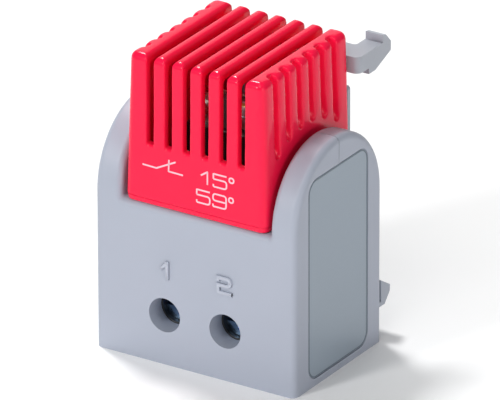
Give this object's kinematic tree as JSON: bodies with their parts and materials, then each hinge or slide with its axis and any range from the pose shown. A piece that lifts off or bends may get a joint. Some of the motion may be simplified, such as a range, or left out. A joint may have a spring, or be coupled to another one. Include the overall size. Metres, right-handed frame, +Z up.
{
  "type": "fixed thermostat",
  "caption": "Small pre-set thermostat for a mounting rail: grey housing with round ears, slotted red vent cap, screw terminals, and a bimetal switch inside.",
  "frame": {"origin": "middle of the flat base that the thermostat stands on", "axes": "+X to the right seen from the front, +Y from the front face to the rail, +Z up"},
  "size_m": [0.033, 0.0318, 0.0464],
  "materials": {
    "grey_housing": "light grey moulded plastic, fine satin",
    "grey_cover": "light grey moulded plastic, fine satin",
    "grey_latch": "light grey moulded plastic, slightly waxy",
    "red_cap": "bright red moulded plastic, glossy",
    "label_film": "blank silver grey polyester film",
    "spring_steel": "drawn spring wire",
    "zinc_steel": "zinc plated steel",
    "blued_steel": "zinc plated steel, blue passivated",
    "black_thermoset": "black thermoset moulding",
    "brass": "stamped brass",
    "silver": "silver contact face",
    "bimetal": "rolled bimetal",
    "rivet_steel": "nickel plated rivet",
    "soft_iron": "soft iron, pressed",
    "ferrite": "sintered ferrite magnet"
  },
  "bodies": {
    "frame": {"housing": "grey_housing", "rear_cover": "grey_cover", "vent_cap": "red_cap", "side_label": "label_film", "latch_springs": "spring_steel", "cover_screws": "zinc_steel", "carrier": "black_thermoset", "contact_bar": "brass", "bimetal_bar": "brass", "fixed_contact": "silver", "bimetal_clamp": "brass", "clamp_rivets": "rivet_steel", "magnet": "ferrite", "calibration_screw": "zinc_steel", "calibration_nut": "brass"},
    "latch": {"rail_latch": "grey_latch"},
    "screw_1": {"terminal_screw_1": "blued_steel"},
    "screw_2": {"terminal_screw_2": "blued_steel"},
    "cage_1": {"clamp_cage_1": "zinc_steel"},
    "cage_2": {"clamp_cage_2": "zinc_steel"},
    "bimetal": {"bimetal_strip": "bimetal", "moving_contact": "silver", "armature": "soft_iron", "armature_rivet": "rivet_steel"}
  },
  "joints": [
    {"name": "latch_slide", "type": "slide", "parent": "frame", "child": "latch", "axis": [0, 0, 1], "range_m": [0, 0.0016], "stiffness_N_per_m": 1500, "springref_m": -0.001, "deforming": ["latch_springs"]},
    {"name": "screw_1_turn", "type": "hinge", "parent": "frame", "child": "screw_1", "pos_m": [-0.005, 0, 0.0076], "axis": [0, 1, 0], "range_deg": [0, 1320]},
    {"name": "cage_1_slide", "type": "slide", "parent": "frame", "child": "cage_1", "axis": [0, -1, 0], "range_m": [0, 0.0022]},
    {"name": "screw_2_turn", "type": "hinge", "parent": "frame", "child": "screw_2", "pos_m": [0.005, 0, 0.0076], "axis": [0, 1, 0], "range_deg": [0, 1320]},
    {"name": "cage_2_slide", "type": "slide", "parent": "frame", "child": "cage_2", "axis": [0, -1, 0], "range_m": [0, 0.0022]},
    {"name": "bimetal_bend", "type": "hinge", "parent": "frame", "child": "bimetal", "pos_m": [0.0039, 0.0017, 0.0355], "axis": [0, 0, 1], "range_deg": [-2, 2.7], "stiffness_Nm_per_rad": 0.002}
  ],
  "couplings": [
    {"joint": "screw_1_turn", "follows": "cage_1_slide", "rad_per_m": 10472},
    {"joint": "screw_2_turn", "follows": "cage_2_slide", "rad_per_m": 10472}
  ]
}
